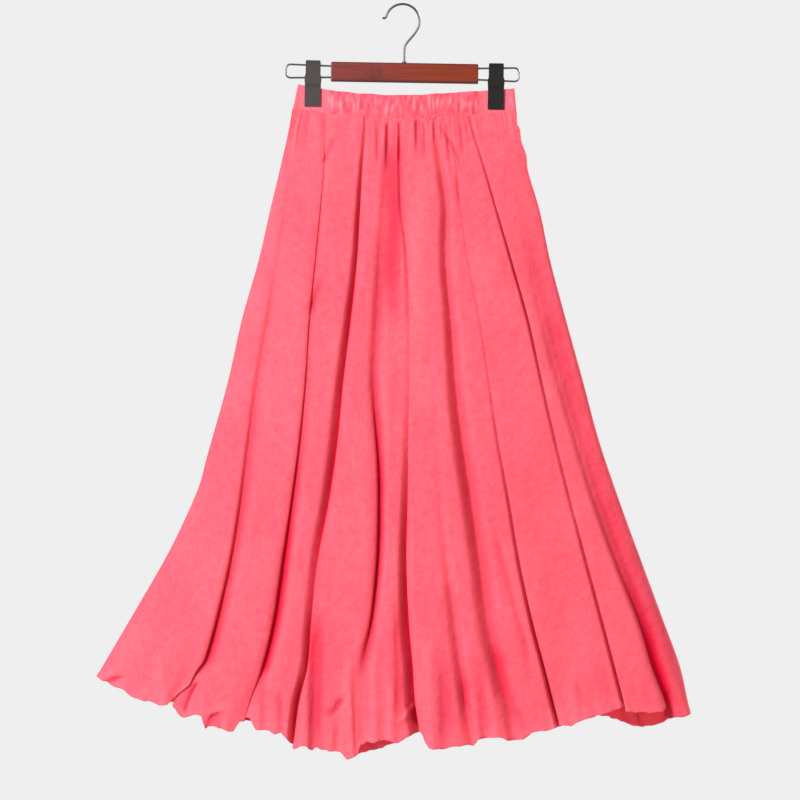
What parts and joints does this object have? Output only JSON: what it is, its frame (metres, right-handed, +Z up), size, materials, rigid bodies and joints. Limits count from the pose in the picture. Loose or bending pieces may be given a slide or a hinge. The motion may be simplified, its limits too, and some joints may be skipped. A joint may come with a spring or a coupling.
{
  "type": "gathered maxi skirt on a two-clip skirt hanger",
  "caption": "Plain gathered maxi skirt with an elastic waist casing, hung by its waist from the clips of a wooden skirt hanger with a wire hook.",
  "frame": {"origin": "seat of the hanger's hook: the top of the hook's inner curve, where it lies on a rod or wall hook", "axes": "+Z up, +X to the right seen from the skirt's front, the front faces -Y"},
  "size_m": [0.8311, 0.1082, 1.0482],
  "materials": {
    "cloth": "matt washed linen and cotton weave with a slight crinkle",
    "casing": "the same cloth, ruffled over elastic",
    "bar_wood": "satin lacquered mahogany brown",
    "hook_metal": "dark bright plating",
    "loop_metal": "bright plating",
    "clip_plastic": "satin black with a fine moulded texture",
    "clip_core_plastic": "matt black"
  },
  "bodies": {
    "root": {"front_panel": "cloth", "back_panel": "cloth", "waistband_front": "casing", "waistband_back": "casing", "hanger_bar": "bar_wood", "hanger_hook": "hook_metal", "hook_collar": "hook_metal", "wire_loop_left": "loop_metal", "wire_loop_right": "loop_metal", "clip_front_left": "clip_plastic", "clip_back_left": "clip_plastic", "clip_core_left": "clip_core_plastic", "clip_front_right": "clip_plastic", "clip_back_right": "clip_plastic", "clip_core_right": "clip_core_plastic"}
  },
  "joints": []
}
